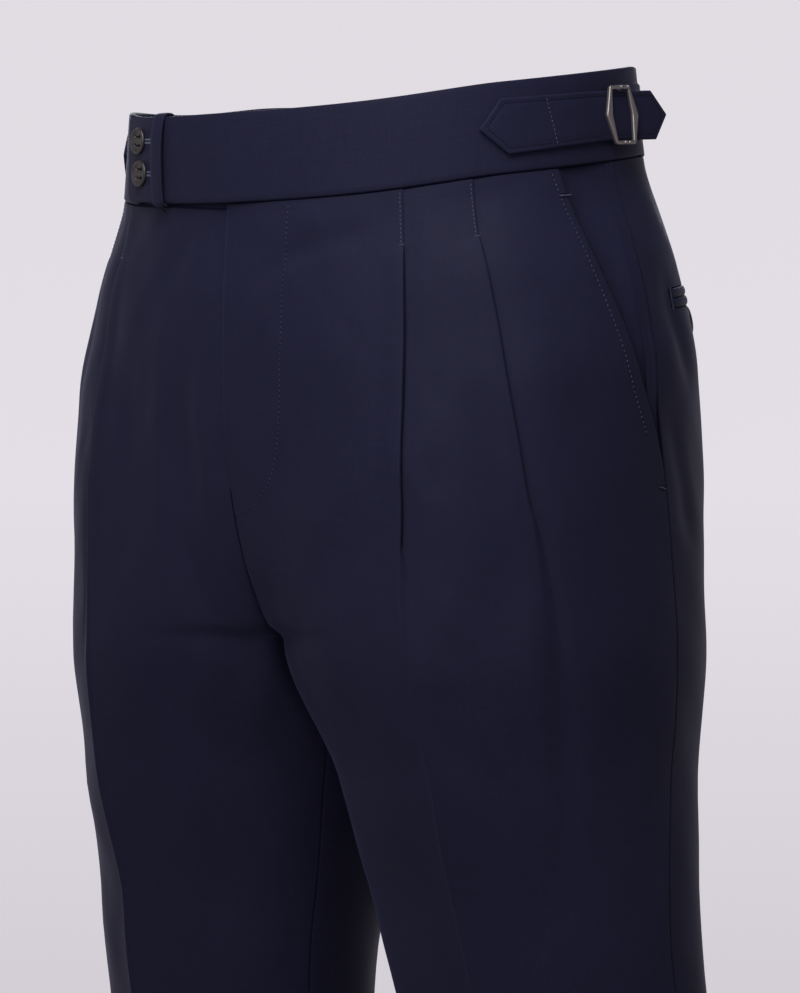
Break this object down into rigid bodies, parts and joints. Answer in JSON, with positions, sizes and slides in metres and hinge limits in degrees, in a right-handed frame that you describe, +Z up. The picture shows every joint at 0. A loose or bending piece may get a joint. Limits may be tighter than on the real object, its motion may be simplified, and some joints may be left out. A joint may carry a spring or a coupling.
{
  "type": "pleated dress trousers",
  "caption": "Hollow, filled-out pleated dress trousers with a buttoned waistband tab, side adjusters, slanted pockets and jetted back pockets.",
  "frame": {"origin": "middle of the waist seam, inside the open waist, where the wearer's waist holds the trousers up", "axes": "+Z up along the body, -Y to the front of the wearer, +X to the wearer's left"},
  "size_m": [0.4442, 0.2631, 1.0889],
  "materials": {
    "suiting": "fine navy wool twill, matt with a soft sheen",
    "button": "dark brown horn-like, satin",
    "gunmetal": "dark gunmetal, polished"
  },
  "bodies": {
    "root": {"front_left": "suiting", "back_left": "suiting", "pocket_facing_left": "suiting", "jet_upper_left": "suiting", "jet_lower_left": "suiting", "back_button_left": "button", "strap_left": "suiting", "buckle_loop_left": "suiting", "buckle_left": "gunmetal", "waistband_left": "suiting", "front_right": "suiting", "back_right": "suiting", "pocket_facing_right": "suiting", "jet_upper_right": "suiting", "jet_lower_right": "suiting", "back_button_right": "button", "strap_right": "suiting", "buckle_loop_right": "suiting", "buckle_right": "gunmetal", "waistband_right": "suiting", "keeper": "suiting", "tab_button_upper": "button", "tab_button_lower": "button"}
  },
  "joints": []
}
